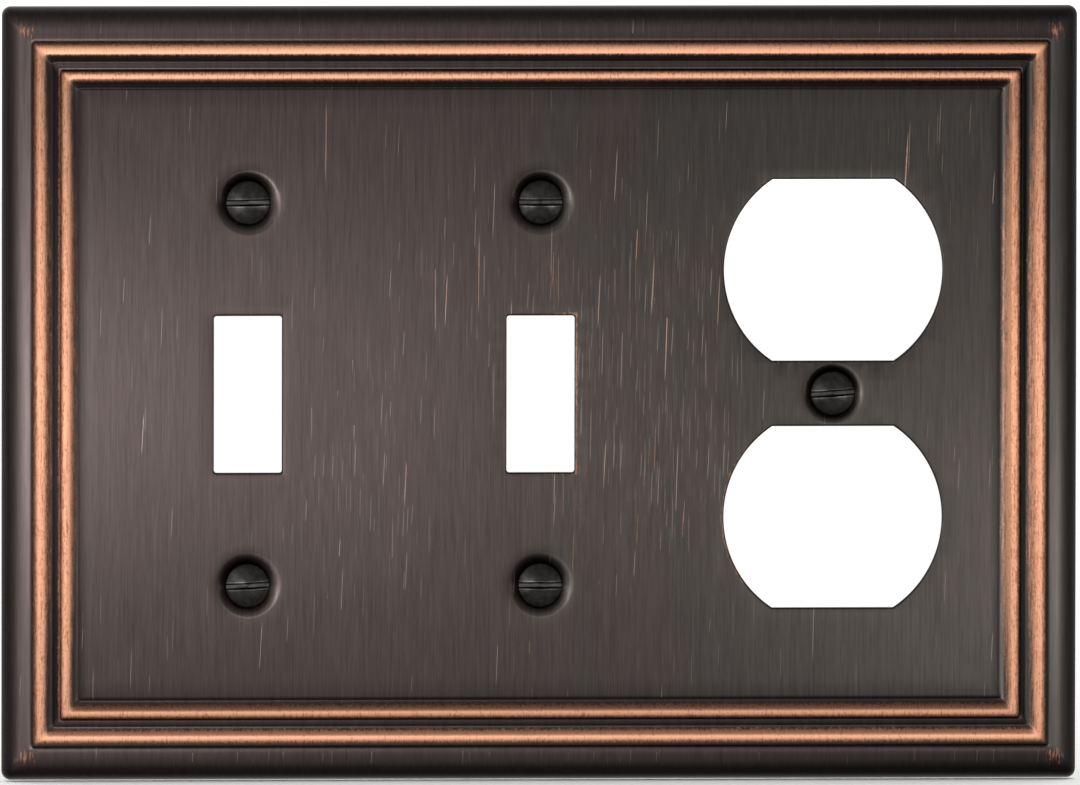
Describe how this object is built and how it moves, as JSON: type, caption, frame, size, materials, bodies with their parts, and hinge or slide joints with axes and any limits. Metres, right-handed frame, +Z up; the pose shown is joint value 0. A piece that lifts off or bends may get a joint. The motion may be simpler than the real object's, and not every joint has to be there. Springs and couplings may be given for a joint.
{
  "type": "wall plate cover",
  "caption": "Pressed metal wall plate with beaded moulding, toggle and duplex receptacle openings, and slotted oval-head screws.",
  "frame": {"origin": "centre of the plate's outline, on the wall plane that its back rim rests on", "axes": "+X to the right along the width, +Z up, +Y into the wall; the face looks along -Y"},
  "size_m": [0.1692, 0.0184, 0.1218],
  "materials": {
    "aged_bronze": "dark aged bronze over steel, vertically brushed, copper worn through on the beads, corners and scratches",
    "black_screw": "satin black"
  },
  "bodies": {
    "plate": {"cover_plate": "aged_bronze"},
    "left_upper_screw": {"left_upper_screw": "black_screw"},
    "left_lower_screw": {"left_lower_screw": "black_screw"},
    "middle_upper_screw": {"middle_upper_screw": "black_screw"},
    "middle_lower_screw": {"middle_lower_screw": "black_screw"},
    "receptacle_screw": {"receptacle_screw": "black_screw"}
  },
  "joints": [
    {"name": "left_upper_turn", "type": "hinge", "parent": "plate", "child": "left_upper_screw", "pos_m": [-0.04604, 0, 0.03016], "axis": [0, 1, 0], "continuous": true},
    {"name": "left_lower_turn", "type": "hinge", "parent": "plate", "child": "left_lower_screw", "pos_m": [-0.04604, 0, -0.03016], "axis": [0, 1, 0], "continuous": true},
    {"name": "middle_upper_turn", "type": "hinge", "parent": "plate", "child": "middle_upper_screw", "pos_m": [0, 0, 0.03016], "axis": [0, 1, 0], "continuous": true},
    {"name": "middle_lower_turn", "type": "hinge", "parent": "plate", "child": "middle_lower_screw", "pos_m": [0, 0, -0.03016], "axis": [0, 1, 0], "continuous": true},
    {"name": "receptacle_turn", "type": "hinge", "parent": "plate", "child": "receptacle_screw", "pos_m": [0.04604, 0, 0], "axis": [0, 1, 0], "continuous": true}
  ]
}
